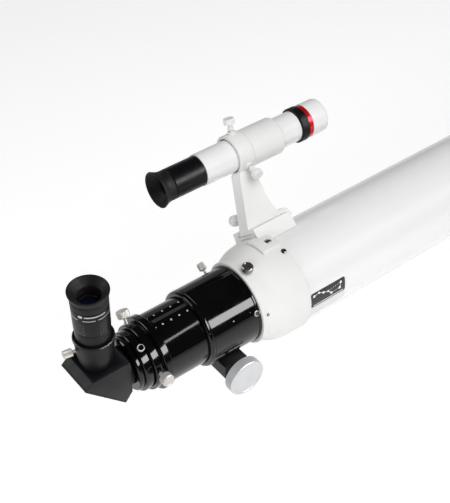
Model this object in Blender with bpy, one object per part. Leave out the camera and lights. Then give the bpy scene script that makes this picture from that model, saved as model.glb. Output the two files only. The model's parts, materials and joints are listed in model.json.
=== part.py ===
"""Long-focus 102 mm refractor telescope: optical tube, rack-and-pinion focuser, star diagonal
with eyepiece, finder scope on its bracket, tube rings and dovetail bar.

Frame: +X forward (towards the sky), +Z up, origin at the middle of the dovetail bar's underside.
Stations along the optical axis are millimetres forward of the focuser's front flange.
"""
import math

import bmesh
import bpy
from mathutils import Matrix, Vector

# ---- driving dimensions, millimetres ----
AXIS_H = 95.0          # optical axis above the dovetail bar's underside
MID = 500.0            # station of the middle of the dovetail bar
GAP = 0.3              # working gap between touching pieces
TUBE_R, TUBE_WALL = 54.0, 1.4
TUBE_REAR, TUBE_FRONT = 26.0, 1085.0
CAST_R = 56.2          # rear casting
COLLAR_R, BODY_R, BORE_R = 47.8, 43.5, 38.3
DRAW_R = 38.0
PINION_X, PINION_Z, PITCH_R, TEETH = -29.3, -46.25, 7.0, 14
KNOB_R, KNOB_T, KNOB_OUT = 21.9, 11.1, 59.4
DIAG_X = -172.5        # eyepiece axis
BARREL_R = 15.875      # 1.25 inch fitting
FINDER_DIST, FINDER_ROLL = 145.7, 42.05
RING_AT = (425.0, 575.0)
RING_IN, RING_OUT, RING_W = 54.6, 61.0, 26.0
N_BIG, N_MID, N_FINE, N_SCREW = 28, 24, 16, 10   # facets round a turned piece

for old in list(bpy.data.objects):
    bpy.data.objects.remove(old, do_unlink=True)

MATERIALS = {
    "white_gloss": ((0.90, 0.90, 0.90), 0.15, 0.0),
    "white_satin": ((0.86, 0.86, 0.85), 0.38, 0.0),
    "black_gloss": ((0.012, 0.012, 0.013), 0.16, 0.0),
    "black_satin": ((0.018, 0.018, 0.019), 0.38, 0.0),
    "anthracite": ((0.035, 0.035, 0.038), 0.45, 0.3),
    "rubber": ((0.014, 0.014, 0.014), 0.75, 0.0),
    "nickel": ((0.62, 0.60, 0.57), 0.26, 1.0),
    "steel": ((0.45, 0.45, 0.46), 0.3, 1.0),
    "aluminium": ((0.72, 0.73, 0.74), 0.3, 1.0),
    "red_anodised": ((0.65, 0.012, 0.015), 0.25, 0.6),
    "glass": ((0.55, 0.65, 0.72), 0.03, 0.0),
    "mirror": ((0.92, 0.92, 0.93), 0.03, 1.0),
    "matt_black": ((0.008, 0.008, 0.008), 0.9, 0.0),
}


def material(name):
    found = bpy.data.materials.get(name)
    if found:
        return found
    colour, rough, metal = MATERIALS[name]
    new = bpy.data.materials.new(name)
    new.use_nodes = True
    shader = new.node_tree.nodes["Principled BSDF"]
    shader.inputs["Base Color"].default_value = (*colour, 1.0)
    shader.inputs["Roughness"].default_value = rough
    shader.inputs["Metallic"].default_value = metal
    return new


def empty(name, at, matrix=None):
    new = bpy.data.objects.new(name, None)
    bpy.context.scene.collection.objects.link(new)
    new.matrix_world = Matrix.Translation(Vector(at) / 1000) @ (matrix or Matrix()).to_4x4()
    return new


AXIS = empty("optical_axis", (-MID, 0, AXIS_H))
FINDER_PLANE = empty("finder_plane", (-MID, 0, AXIS_H),
                     Matrix.Rotation(math.radians(-FINDER_ROLL), 3, "X"))


def finish(bm, name, mat, at, matrix, parent, cutter=False):
    """Turn a bmesh in millimetres into a named object; parent's frame holds `at` and `matrix`."""
    bmesh.ops.remove_doubles(bm, verts=bm.verts, dist=2e-3)
    bmesh.ops.recalc_face_normals(bm, faces=bm.faces)
    bmesh.ops.scale(bm, vec=(0.001, 0.001, 0.001), verts=bm.verts)
    mesh = bpy.data.meshes.new(name)
    bm.to_mesh(mesh)
    bm.free()
    new = bpy.data.objects.new(name, mesh)
    bpy.context.scene.collection.objects.link(new)
    new.parent = parent
    new.matrix_local = Matrix.Translation(Vector(at) / 1000) @ (matrix or Matrix()).to_4x4()
    if cutter:
        new.hide_render = True
        new.display_type = "WIRE"
    else:
        mesh.materials.append(material(mat))
        mesh.shade_smooth()
        mesh.set_sharp_from_angle(angle=math.radians(32))
    return new


def turned(name, points, mat="steel", at=(0, 0, 0), matrix=None, parent=AXIS, n=N_BIG, cutter=False):
    """Solid of revolution about local X from (station, radius) points; hollow if none is on the axis."""
    bm = bmesh.new()
    verts = [bm.verts.new((a, 0.0, r)) for a, r in points]
    edges = [bm.edges.new(pair) for pair in zip(verts, verts[1:])]
    if min(r for _, r in points) > 0:
        edges.append(bm.edges.new((verts[-1], verts[0])))
    bmesh.ops.spin(bm, geom=verts + edges, cent=(0, 0, 0), axis=(1, 0, 0),
                   angle=math.tau, steps=n, use_duplicate=False)
    return finish(bm, name, mat, at, matrix, parent, cutter)


def prism(name, outline, half, mat="steel", at=(0, 0, 0), matrix=None, parent=AXIS,
          plane="XZ", middle=0.0, cutter=False):
    """Outline in a plane (XZ or YZ), extruded to +-half along the third axis about `middle`."""
    bm = bmesh.new()
    if plane == "XZ":
        start = [bm.verts.new((a, middle - half, b)) for a, b in outline]
        push = (0, 2 * half, 0)
    else:
        start = [bm.verts.new((middle - half, a, b)) for a, b in outline]
        push = (2 * half, 0, 0)
    face = bm.faces.new(start)
    moved = bmesh.ops.extrude_face_region(bm, geom=[face])["geom"]
    bmesh.ops.translate(bm, vec=push, verts=[v for v in moved if isinstance(v, bmesh.types.BMVert)])
    return finish(bm, name, mat, at, matrix, parent, cutter)


def rod(name, radius, start, end, at=(0, 0, 0), matrix=None, parent=AXIS, n=N_SCREW, cutter=True,
        mat="steel"):
    return turned(name, [(start, 0), (start, radius), (end, radius), (end, 0)], mat, at, matrix,
                  parent, n, cutter)


def boolean(target, tool, operation="DIFFERENCE"):
    """Boolean modifier; the MANIFOLD solver suits the pieces joined from many closed shapes."""
    mod = target.modifiers.new(operation.lower() + "_" + tool.name, "BOOLEAN")
    mod.operation = operation
    mod.object = tool
    mod.solver = "MANIFOLD" if target.name.startswith(("ring_", "finder_", "shoe_")) else "EXACT"


def bevel(target, width, segments=1, angle=40.0):
    mod = target.modifiers.new("edge_radius", "BEVEL")
    mod.width = width / 1000
    mod.segments = segments
    mod.limit_method = "ANGLE"
    mod.angle_limit = math.radians(angle)
    return mod


def facing(direction):
    """Rotation that points local X along `direction`."""
    return Vector((1, 0, 0)).rotation_difference(Vector(direction)).to_matrix()


def radial(theta):
    """Direction square to the optical axis: 0 is up, positive turns towards -Y."""
    t = math.radians(theta)
    return Vector((0.0, -math.sin(t), math.cos(t)))


def thumbscrew(name, tip, seat, head_r, head_h, shaft_r, at, direction, parent=AXIS,
               mat="nickel", n=N_SCREW):
    """Screw along its own axis: tip and seat are distances from `at`; the head stands on the seat."""
    top = seat + head_h
    pts = [(tip, 0), (tip, shaft_r), (seat, shaft_r), (seat + 0.6, head_r - 0.6),
           (seat + 1.2, head_r), (top - 0.8, head_r), (top, head_r - 0.8), (top, 0)]
    return turned(name, pts, mat, at, facing(direction), parent, n)


# ---- optical tube -----------------------------------------------------------------------------
inner = TUBE_R - TUBE_WALL
main_tube = turned("main_tube", [(TUBE_REAR, TUBE_R), (TUBE_FRONT, TUBE_R), (TUBE_FRONT, inner),
                                 (TUBE_REAR, inner)], "white_gloss", n=N_BIG)
rear_casting = turned("rear_casting", [
    (2.0, COLLAR_R - 0.7), (2.7, COLLAR_R), (9.5, COLLAR_R), (12.5, 49.3), (18.0, 52.5),
    (25.0, 54.8), (35.0, CAST_R), (59.2, CAST_R), (60.0, CAST_R - 0.8), (60.0, TUBE_R + GAP),
    (TUBE_REAR - GAP, TUBE_R + GAP), (TUBE_REAR - GAP, 50.5), (14.0, 44.5), (14.0, 41.0),
    (2.0, 41.0)], "white_satin", n=N_BIG)


def baffle(name, station, aperture):
    return turned(name, [(station, inner - GAP), (station + 9, inner - GAP),
                         (station + 9, inner - GAP - 1.2), (station + 1.2, inner - GAP - 1.2),
                         (station + 1.2, aperture), (station, aperture)], "matt_black")


baffle("baffle_rear", 410.0, 32.0)
baffle("baffle_front", 760.0, 42.0)

turned("objective_cell", [
    (1066, inner - GAP), (TUBE_FRONT + GAP, inner - GAP), (TUBE_FRONT + GAP, 58.5), (1134, 58.5),
    (1135, 57.5), (1135, 52.9), (1108, 52.9), (1108, 50.2), (1066, 50.2)], "matt_black", n=N_BIG)


def lens_face(vertex, radius, edge_r, steps=2):
    """Points on a spherical face, axis to edge; a positive radius curves its edge backwards."""
    side = 1 if radius > 0 else -1
    out = []
    for i in range(steps + 1):
        r = edge_r * i / steps
        sag = abs(radius) - math.sqrt(radius * radius - r * r)
        out.append((vertex - side * sag, r))
    return out


turned("crown_lens", lens_face(1127.6, 830, 52.5) + lens_face(1117.4, -470, 52.5)[::-1],
                    "glass", n=N_BIG)
turned("flint_lens", lens_face(1116.6, -480, 52.5) + lens_face(1109.2, 2000, 52.5)[::-1],
                    "glass", n=N_BIG)
turned("lens_retaining_ring", [(1128.0, 52.6), (1132.0, 52.6), (1132.0, 50.4), (1128.0, 50.9)],
       "matt_black", n=N_BIG)
turned("dew_shield", [(1078, 66.0), (1249.2, 66.0), (1250, 65.2), (1250, 64.2), (1102, 64.2),
                      (1102, 58.9), (1086.5, 58.9), (1086.5, 64.2), (1078, 64.2)],
       "white_gloss", n=N_BIG)

# retaining screw through the casting's sleeve into the tube
CASTING_SCREW = radial(13.3)
for piece in (rear_casting, main_tube):
    boolean(piece, rod("bore_casting_screw_" + piece.name, 1.9, 50, 60, (55.2, 0, 0),
                       facing(CASTING_SCREW), n=N_SCREW))
turned("casting_screw", [(51.2, 0), (51.2, 1.5), (56.5, 1.5), (56.5, 3.1), (57.4, 2.7), (58.2, 1.5),
                         (58.4, 0)], "steel", (55.2, 0, 0), facing(CASTING_SCREW), n=N_SCREW)

# lock screw that holds the focuser's rotation
LOCK_DIR = radial(8.5)
boolean(rear_casting, rod("bore_rotation_lock", 2.6, 40, 52, (10.4, 0, 0), facing(LOCK_DIR)))
thumbscrew("rotation_lock_screw", 39.9, 51.9, 6.3, 4.6, 2.2, (10.4, 0, 0), LOCK_DIR)

# ---- focuser ----------------------------------------------------------------------------------
focuser_body = turned("focuser_body", [
    (1.7, 44.6), (-1.0, 44.6), (-1.2, BODY_R), (-57.6, BODY_R), (-58.2, BODY_R - 0.6), (-59.2, BODY_R - 0.3),
    (-62.2, 41.8), (-62.8, 40.8), (-62.8, BORE_R), (14.0, BORE_R), (14.0, 40.6), (13.4, 39.3),
    (7.4, 39.3), (6.6, 40.6), (1.7, 40.6)], "black_gloss", n=N_BIG)
boolean(focuser_body, prism("cut_keyway", [(-4.7, -36), (-4.7, -42.2), (4.7, -42.2), (4.7, -36)],
                            60, plane="YZ", middle=-20, cutter=True))
boolean(focuser_body, prism("cut_pinion_window", [(PINION_X - 9.5, -36), (PINION_X - 9.5, -46),
                                                  (PINION_X + 9.5, -46), (PINION_X + 9.5, -36)],
                            6.6, cutter=True))
TOP_LOCK = radial(-58)
boolean(focuser_body, rod("bore_drawtube_lock", 1.9, 36, 46, (-10.5, 0, 0), facing(TOP_LOCK), n=N_SCREW))
thumbscrew("drawtube_lock_screw", 38.3, 47.8, 4.6, 9.0, 1.5, (-10.5, 0, 0), TOP_LOCK, n=N_SCREW)

HX0, HX1 = -45.5, -16.5
pinion_housing = prism("pinion_housing", [
    (HX0, -34), (HX1, -34), (HX1, -51), (HX1 - 7, -58.5), (HX0 + 7, -58.5), (HX0, -51)], 42.0,
    "black_satin")
bevel(pinion_housing, 1.2)
boolean(pinion_housing, rod("cut_saddle", BODY_R + GAP, -70, 20, n=N_BIG))
boolean(pinion_housing, rod("cut_gear_room", 8.8, -6.6, 6.6, (PINION_X, 0, PINION_Z),
                            facing((0, 1, 0)), n=N_FINE))
boolean(pinion_housing, prism("cut_gear_throat", [(PINION_X - 8.6, -34), (PINION_X + 8.6, -34),
                                                  (PINION_X + 8.6, PINION_Z),
                                                  (PINION_X - 8.6, PINION_Z)], 6.6, cutter=True))
boolean(pinion_housing, rod("bore_shaft", 3.4, -52, 52, (PINION_X, 0, PINION_Z),
                            facing((0, 1, 0)), n=N_FINE))

# pinion shaft: teeth cut with straight flanks, a tooth pointing up at the rack
teeth = []
for i in range(TEETH):
    mid = math.tau * i / TEETH
    for r, half in ((5.75, 1.02), (7.95, 0.32), (7.95, -0.32), (5.75, -1.02)):
        a = mid - half / r
        teeth.append((r * math.sin(a), r * math.cos(a)))
pinion_shaft = prism("pinion_shaft", teeth, 5.5, "steel", (PINION_X, 0, PINION_Z))
boolean(pinion_shaft, rod("shaft_core", 3.0, -56.4, 56.4, (PINION_X, 0, PINION_Z),
                          facing((0, 1, 0)), n=N_FINE), "UNION")
for side, tag in ((-1, "near"), (1, "far")):
    back = KNOB_OUT - KNOB_T
    turned("focus_knob_" + tag, [
        (KNOB_OUT - 2.5, 0), (KNOB_OUT - 2.5, 3.3), (back, 3.3), (back, KNOB_R - 1.0),
        (back + 1.0, KNOB_R), (KNOB_OUT - 1.0, KNOB_R), (KNOB_OUT, KNOB_R - 1.0),
        (KNOB_OUT, KNOB_R - 3.2), (KNOB_OUT - 0.6, KNOB_R - 3.6), (KNOB_OUT - 0.6, 0)],
        "aluminium", (PINION_X, 0, PINION_Z), facing((0, side, 0)), n=N_FINE)

# draw tube with its rack let into a flat on the underside
DRAW_END = -107.4
draw_tube = turned("draw_tube", [(DRAW_END, DRAW_R), (16.0, DRAW_R), (16.0, 33.6),
                                 (DRAW_END, 33.6)], "black_gloss", n=N_BIG)
boolean(draw_tube, prism("cut_rack_flat", [(-3.9, -36), (-3.9, -44), (3.9, -44), (3.9, -36)],
                         49.5, plane="YZ", middle=-30.0, cutter=True))
pitch = math.tau * PITCH_R / TEETH
back_z, root_z, tip_z = -36.3, -38.0, -40.2
first, count = -15, 28
outline = [(PINION_X + (first - 0.5) * pitch + 0.8, back_z),
           (PINION_X + (first - 0.5) * pitch + 0.8, root_z)]
for i in range(first, first + count):
    mid = PINION_X + (i + 0.5) * pitch
    outline += [(mid - 1.05, root_z), (mid - 0.36, tip_z), (mid + 0.36, tip_z),
                (mid + 1.05, root_z)]
outline += [(outline[-1][0] + 0.3, root_z), (outline[-1][0] + 0.3, back_z)]
prism("rack", outline, 3.5, "steel")

# clamp collar on the draw tube's end, adapter and screws
clamp_collar = turned("clamp_collar", [
    (-107.7, 40.2), (-108.5, 41.0), (-115.4, 41.0), (-116.2, 40.2), (-116.4, 35.8),
    (-117.8, 35.8), (-118.4, 36.6), (-125.8, 36.6), (-126.6, 35.8), (-126.6, 25.8),
    (-96.0, 25.8), (-96.0, 33.2), (-107.7, 33.2)], "black_gloss", n=N_MID)
CLAMP_X = -122.4
for tag, theta in (("top", -35), ("side", 81)):
    way = radial(theta)
    boolean(clamp_collar, rod("bore_clamp_" + tag, 2.3, 24, 40, (CLAMP_X, 0, 0), facing(way), n=N_SCREW))
    thumbscrew("clamp_screw_" + tag, 26.2, 43.4, 6.8, 8.6, 2.0, (CLAMP_X, 0, 0), way)
adapter = turned("eyepiece_adapter", [
    (-126.9, 32.2), (-127.7, 33.0), (-135.4, 33.0), (-136.2, 32.2), (-136.6, 29.0), (-137.4, 29.8),
    (-140.4, 29.8), (-142.0, 28.2), (-142.0, BARREL_R + GAP), (-100.0, BARREL_R + GAP),
    (-100.0, 25.4), (-126.9, 25.4)], "black_gloss", n=N_MID)
ADAPTER_DIR = radial(25)
boolean(adapter, rod("bore_adapter_screw", 1.8, 14, 36, (-131.2, 0, 0), facing(ADAPTER_DIR), n=N_SCREW))
turned("adapter_screw", [(16.5, 0), (16.5, 1.5), (33.3, 1.5), (33.3, 3.9), (34.8, 4.1), (36.0, 3.6),
                         (36.0, 2.0), (34.6, 2.0), (34.6, 0)], "steel", (-131.2, 0, 0),
       facing(ADAPTER_DIR), n=N_SCREW)

# ---- star diagonal ----------------------------------------------------------------------------
WIDE = 22.8
TOP_Z, FRONT_X = 27.3, -148.2
low, high = Vector((-157.2, -26.4)), Vector((-200.4, 19.7))
slope = (high - low).normalized()
inward = Vector((slope.y, -slope.x)) * (1 if Vector((slope.y, -slope.x)).x > 0 else -1)
COVER_T = 1.8


def on_slope(along, depth):
    point = low + slope * along + inward * depth
    return (point.x, point.y)


rear_chamfer = Vector((-191.1, TOP_Z))
front_low = Vector((FRONT_X, -14.9))


def at_depth(corner, other, depth):
    """Point on the edge corner->other that lies `depth` inside the mirror side."""
    step = depth / (other - corner).dot(inward)
    point = corner + (other - corner) * step
    return (point.x, point.y)


diagonal_body = prism("diagonal_body", [
    (FRONT_X, TOP_Z), (FRONT_X, front_low.y), at_depth(low, front_low, COVER_T + 0.2),
    at_depth(high, rear_chamfer, COVER_T + 0.2), (rear_chamfer.x, TOP_Z)], WIDE, "anthracite")
bevel(diagonal_body, 0.35)
boolean(diagonal_body, rod("bore_diagonal_front", 14.5, -174, -140, n=N_MID))
boolean(diagonal_body, rod("bore_diagonal_up", 14.5, -2, 32, (DIAG_X, 0, 0), facing((0, 0, 1)), n=N_MID))
MIRROR_HALF = 21.0
centre = (Vector((DIAG_X, 0)) - low).dot(slope)
room = [on_slope(centre - MIRROR_HALF, -1), on_slope(centre + MIRROR_HALF, -1),
        on_slope(centre + MIRROR_HALF, 7.4), on_slope(centre - MIRROR_HALF, 7.4)]
boolean(diagonal_body, prism("cut_mirror_room", room, 16.0, cutter=True))
prism("diagonal_cover", [
    (low.x, low.y), (high.x, high.y), at_depth(high, rear_chamfer, COVER_T),
    at_depth(low, front_low, COVER_T)], WIDE, "anthracite")
prism("diagonal_mirror", [on_slope(centre - 20.5, 2.1), on_slope(centre + 20.5, 2.1),
                          on_slope(centre + 20.5, 6.7), on_slope(centre - 20.5, 6.7)], 15.6,
      "mirror")
turned("diagonal_nose", [
    (-112.0, BARREL_R - 0.8), (-112.8, BARREL_R), (-142.4, BARREL_R), (-142.4, 20.6),
    (-143.4, 21.4), (-146.6, 21.4), (-147.9, 20.2), (-147.9, 14.2), (-153.5, 14.2), (-153.5, 12.4),
    (-112.0, 13.6)], "black_satin", n=N_FINE)
UP = facing((0, 0, 1))
diagonal_barrel = turned("diagonal_barrel", [
    (65.0, BARREL_R + GAP), (65.0, 20.2), (64.4, 20.85), (61.8, 20.85), (60.8, 19.7),
    (50.0, 19.3), (40.0, 18.3), (33.0, 16.9), (27.6, 15.8), (27.6, 14.2), (22.0, 14.2),
    (22.0, 12.4), (36.5, 12.8), (37.0, BARREL_R + GAP)], "black_satin", (DIAG_X, 0, 0), UP, n=N_FINE)
REAR_DIR = Vector((-math.cos(math.radians(9.4)), math.sin(math.radians(9.4)), 0))
boolean(diagonal_barrel, rod("bore_diagonal_screw", 1.9, 14, 24, (DIAG_X, 0, 52.0),
                             facing(REAR_DIR), n=N_SCREW))
thumbscrew("diagonal_screw", 16.4, 22.6, 5.2, 12.0, 1.5, (DIAG_X, 0, 52.0), REAR_DIR)

# ---- eyepiece ---------------------------------------------------------------------------------
turned("eyepiece_barrel", [
    (38.0, BARREL_R - 0.5), (38.6, BARREL_R), (65.6, BARREL_R), (65.6, 15.2), (72.0, 15.2),
    (72.0, 13.6), (38.0, 13.6)], "nickel", (DIAG_X, 0, 0), UP, n=N_FINE)
turned("eyepiece_body", [
    (65.9, 17.2), (66.6, 17.8), (78.8, 18.1), (79.4, 18.3), (92.4, 18.5), (108.0, 18.6),
    (108.0, 16.0), (110.5, 16.0), (110.5, 12.4), (106.0, 9.8), (104.2, 9.8), (104.2, 12.6),
    (72.4, 12.6), (72.4, 15.5), (65.9, 15.5)], "black_satin", (DIAG_X, 0, 0), UP, n=N_FINE)
turned("eyepiece_lens", [(97.0, 0), (97.0, 12.3), (103.9, 12.3), (104.0, 9.6), (104.9, 5.7),
                         (105.5, 0)], "glass", (DIAG_X, 0, 0), UP, n=N_FINE)
turned("eyepiece_eyecup", [
    (108.3, 18.6), (116.0, 19.1), (121.0, 20.0), (124.2, 20.6), (124.9, 20.1), (124.2, 19.0),
    (118.4, 13.2), (117.2, 12.2), (116.2, 12.6), (111.2, 14.6), (110.8, 16.3), (108.3, 16.3)], "rubber",
    (DIAG_X, 0, 0), UP, n=N_FINE)

# ---- finder scope: this frame is rolled so that local Z runs from the tube's axis to the finder --
FIN = FINDER_PLANE
shoe = prism("finder_shoe", [(-26.8, 45), (26.8, 45), (23.4, 64.7), (16.4, 64.7), (11.2, 64.7),
                             (15.8, 59.4), (-15.8, 59.4), (-11.2, 64.7), (-23.4, 64.7)], 24.9,
             "white_satin", plane="YZ", middle=70.0, parent=FIN)
bevel(shoe, 0.6)
skirt = turned("shoe_skirt", [(34, CAST_R + GAP), (58, CAST_R + GAP), (58, 58.6), (56, 59.6),
                              (36, 59.6), (34, 58.6)], parent=FIN, n=64, cutter=True)
boolean(skirt, prism("skirt_limit", [(-39, 30), (-20, 44), (-20, 62), (-46, 50)], 16, plane="YZ",
                     middle=46, parent=FIN, cutter=True), "INTERSECT")
boolean(shoe, rod("cut_shoe_rear", CAST_R + GAP, 20, TUBE_REAR + 34.6, parent=FIN, n=64))
boolean(shoe, rod("cut_shoe_front", TUBE_R + GAP, 20, 120, parent=FIN, n=64))
boolean(shoe, skirt, "UNION")
SHOE_SCREW = radial(-5.8)
for piece, radius, start in ((shoe, 4.0, 58.2), (shoe, 1.9, 50), (rear_casting, 1.9, 50),
                             (main_tube, 1.9, 50)):
    boolean(piece, rod("bore_shoe_%s_%g" % (piece.name, radius), radius, start, 74, (49, 0, 0),
                       facing(SHOE_SCREW)))
turned("shoe_screw", [(51.2, 0), (51.2, 1.5), (58.5, 1.5), (58.5, 3.3), (59.4, 3.0), (60.3, 1.8),
                      (60.5, 0)], "steel", (49, 0, 0), facing(SHOE_SCREW), n=N_SCREW)

curve = [(85.6 + 4.5 * t * t, 93.8 - 22.4 * t) for t in (0.0, 0.25, 0.5, 0.75, 1.0)]
bracket = prism("finder_bracket", [(46.6, 64.4), (47.1, 66.9), (66.0, 125.0), (85.6, 125.5),
                                   (85.6, 101.1)] + curve + [(92.4, 69.4), (101.0, 69.0), (103.0, 67.2),
                                            (103.0, 64.4)], 9.7,
                "white_satin", parent=FIN)
bevel(bracket, 0.5)
boolean(bracket, prism("bracket_foot", [(-15.0, 59.8), (15.0, 59.8), (10.6, 64.6), (10.6, 66.9),
                                        (-10.6, 66.9), (-10.6, 64.6)], 28.4, plane="YZ",
                       middle=74.8, parent=FIN, cutter=True), "UNION")
F_AT = (0, 0, FINDER_DIST)
sleeve = turned("bracket_sleeve", [
    (67.6, 0), (67.6, 22.0), (68.4, 22.8), (86.0, 22.8), (87.6, 21.4), (129.4, 21.4),
    (130.6, 20.2), (130.6, 0)], at=F_AT, parent=FIN, n=N_MID, cutter=True)
boolean(bracket, sleeve, "UNION")
BRACKET_SCREW = (56.0, 0, 77.3)
boolean(bracket, rod("bore_bracket_screw", 1.9, -6, 12, BRACKET_SCREW, facing((0, 1, 0)), FIN))
thumbscrew("bracket_thumbscrew", -5.6, 21.6, 6.4, 8.6, 1.6, BRACKET_SCREW, (0, 1, 0), FIN,
           "white_satin")
SCREW_X = 78.0
FIN_SCREWS = (("top", -20 + FINDER_ROLL), ("near", 100 + FINDER_ROLL))
for tag, theta in FIN_SCREWS:
    way = radial(theta)
    boolean(bracket, rod("boss_" + tag, 4.6, 10, 25.0, (SCREW_X, 0, FINDER_DIST), facing(way),
                         FIN, N_SCREW), "UNION")
    turned("finder_screw_" + tag, [
        (18.7, 0), (18.7, 2.0), (26.5, 2.0), (27.5, 3.4), (29.5, 3.4), (30.5, 2.6), (32.5, 2.8),
        (34.0, 5.9), (34.6, 6.3), (39.6, 6.3), (40.3, 5.6), (40.3, 0)], "white_satin",
        (SCREW_X, 0, FINDER_DIST), facing(way), FIN, n=N_SCREW)
SPRING_DIR = radial(-135 + FINDER_ROLL)
boolean(bracket, rod("boss_spring", 5.2, 10, 34.0, (SCREW_X, 0, FINDER_DIST), facing(SPRING_DIR),
                     FIN, N_SCREW), "UNION")
boolean(bracket, rod("cut_sleeve_bore", 19.7, 60, 140, F_AT, parent=FIN, n=N_MID))
for tag, theta in FIN_SCREWS:
    boolean(bracket, rod("bore_finder_" + tag, 2.3, 16, 28, (SCREW_X, 0, FINDER_DIST),
                         facing(radial(theta)), FIN, N_SCREW))
boolean(bracket, rod("bore_spring", 3.0, 16, 36, (SCREW_X, 0, FINDER_DIST), facing(SPRING_DIR),
                     FIN, N_SCREW))
turned("finder_plunger", [(18.7, 0), (18.7, 2.4), (20.0, 2.7), (34.6, 2.7), (34.6, 4.6),
                          (37.0, 4.6), (37.6, 4.0), (37.6, 0)], "nickel",
       (SCREW_X, 0, FINDER_DIST), facing(SPRING_DIR), FIN, n=N_SCREW)

turned("finder_tube", [
    (26.6, 18.4), (131.0, 18.4), (133.0, 17.9), (158.0, 17.9), (158.0, 16.9), (184.0, 16.9),
    (184.0, 15.4), (26.6, 15.4)], "white_gloss", F_AT, None, FIN, N_FINE)
turned("finder_eyepiece", [
    (-12.6, 16.6), (-12.0, 17.2), (25.6, 17.2), (26.3, 16.6), (26.3, 15.1), (46.0, 15.1),
    (46.0, 13.4), (-6.0, 11.6), (-6.0, 8.2), (-9.0, 8.2), (-12.6, 9.6)], "black_satin",
    F_AT, None, FIN, N_FINE)
turned("finder_eye_lens", [(-5.7, 0), (-5.2, 6.0), (-4.6, 11.2), (2.0, 11.4), (2.6, 0)], "glass",
       F_AT, None, FIN, N_FINE)
turned("finder_eyecup", [
    (-12.9, 17.1), (-17.6, 17.0), (-22.0, 17.9), (-27.8, 20.5), (-28.6, 20.2), (-28.0, 19.2),
    (-18.5, 14.0), (-15.0, 10.4), (-12.9, 10.4)], "rubber",
    F_AT, None, FIN, N_FINE)
turned("finder_lock_ring", [
    (158.4, 17.2), (158.4, 19.7), (159.0, 20.3), (167.8, 20.3), (168.4, 19.7), (168.4, 17.2)],
    "black_satin", F_AT, None, FIN, N_FINE)
turned("finder_red_ring", [(168.8, 17.2), (168.8, 19.3), (173.8, 19.3), (173.8, 17.2)],
       "red_anodised", F_AT, None, FIN, N_FINE)
turned("finder_cell", [
    (174.1, 17.2), (174.1, 19.6), (174.5, 19.9), (193.2, 19.9), (195.4, 19.3), (196.2, 17.8),
    (196.2, 16.4), (192.6, 14.2), (192.2, 15.6), (186.6, 15.6), (186.6, 17.2)], "white_gloss",
    F_AT, None, FIN, N_FINE)
turned("finder_objective", [(186.9, 0), (186.9, 15.2), (190.6, 15.2), (191.5, 9.0), (191.9, 0)],
       "glass", F_AT, None, FIN, N_FINE)

# ---- tube rings and dovetail bar ---------------------------------------------------------------
dovetail = prism("dovetail_bar", [
    (-22.0, 0.6), (-21.4, 0.0), (21.4, 0.0), (22.0, 0.6), (18.6, 14.4), (18.0, 15.0),
    (-18.0, 15.0), (-18.6, 14.4)], 105.0, "black_satin", parent=None, plane="YZ")
PIN_Y, BOLT_Y, BOLT_Z = 66.0, -69.0, -5.6


def half_ring(name, station, upper):
    sign = 1 if upper else -1
    spread = [math.radians(0.55 + 178.9 * i / 18) for i in range(19)]
    outline = [(RING_OUT * math.cos(t), sign * RING_OUT * math.sin(t)) for t in spread]
    outline += [(RING_IN * math.cos(t), sign * RING_IN * math.sin(t)) for t in spread[::-1]]
    ring = prism(name, outline, RING_W / 2, "white_satin", (station, 0, 0), plane="YZ")
    z0, z1 = sorted((sign * 0.6, sign * 10.6))
    lug = [(-76, z0), (-57.6, z0), (-57.6, z1), (-76, z1)]
    boolean(ring, prism("lug_" + name, lug, 9, at=(station, 0, 0), plane="YZ", cutter=True), "UNION")
    web = [(57.6, z0), (PIN_Y, z0), (PIN_Y, sign * 5.0), (57.6, sign * 8.0)]
    spans = ((-4.6, 4.6),) if upper else ((-13.0, -5.0), (5.0, 13.0))
    others = ((-13.4, -4.9), (4.9, 13.4)) if upper else ((-4.9, 4.9),)
    for i, (a, b) in enumerate(spans):
        tag = "%s_%d" % (name, i)
        boolean(ring, prism("web_" + tag, web, (b - a) / 2, at=(station, 0, 0), plane="YZ",
                            middle=(a + b) / 2, cutter=True), "UNION")
        boolean(ring, rod("knuckle_" + tag, 5.4, a, b, (station, PIN_Y, 0), n=N_SCREW), "UNION")
    for i, (a, b) in enumerate(others):
        boolean(ring, rod("clear_%s_%d" % (name, i), 5.9, a, b, (station, PIN_Y, 0), n=16))
    boolean(ring, rod("pin_bore_" + name, 2.3, -16, 16, (station, PIN_Y, 0), n=N_SCREW))
    slot = [(-80, -12), (-64.5, -12), (-64.5, 12), (-80, 12)]
    boolean(ring, prism("slot_" + name, slot, 4.3, at=(station, 0, 0), plane="YZ", cutter=True))
    return ring


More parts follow.
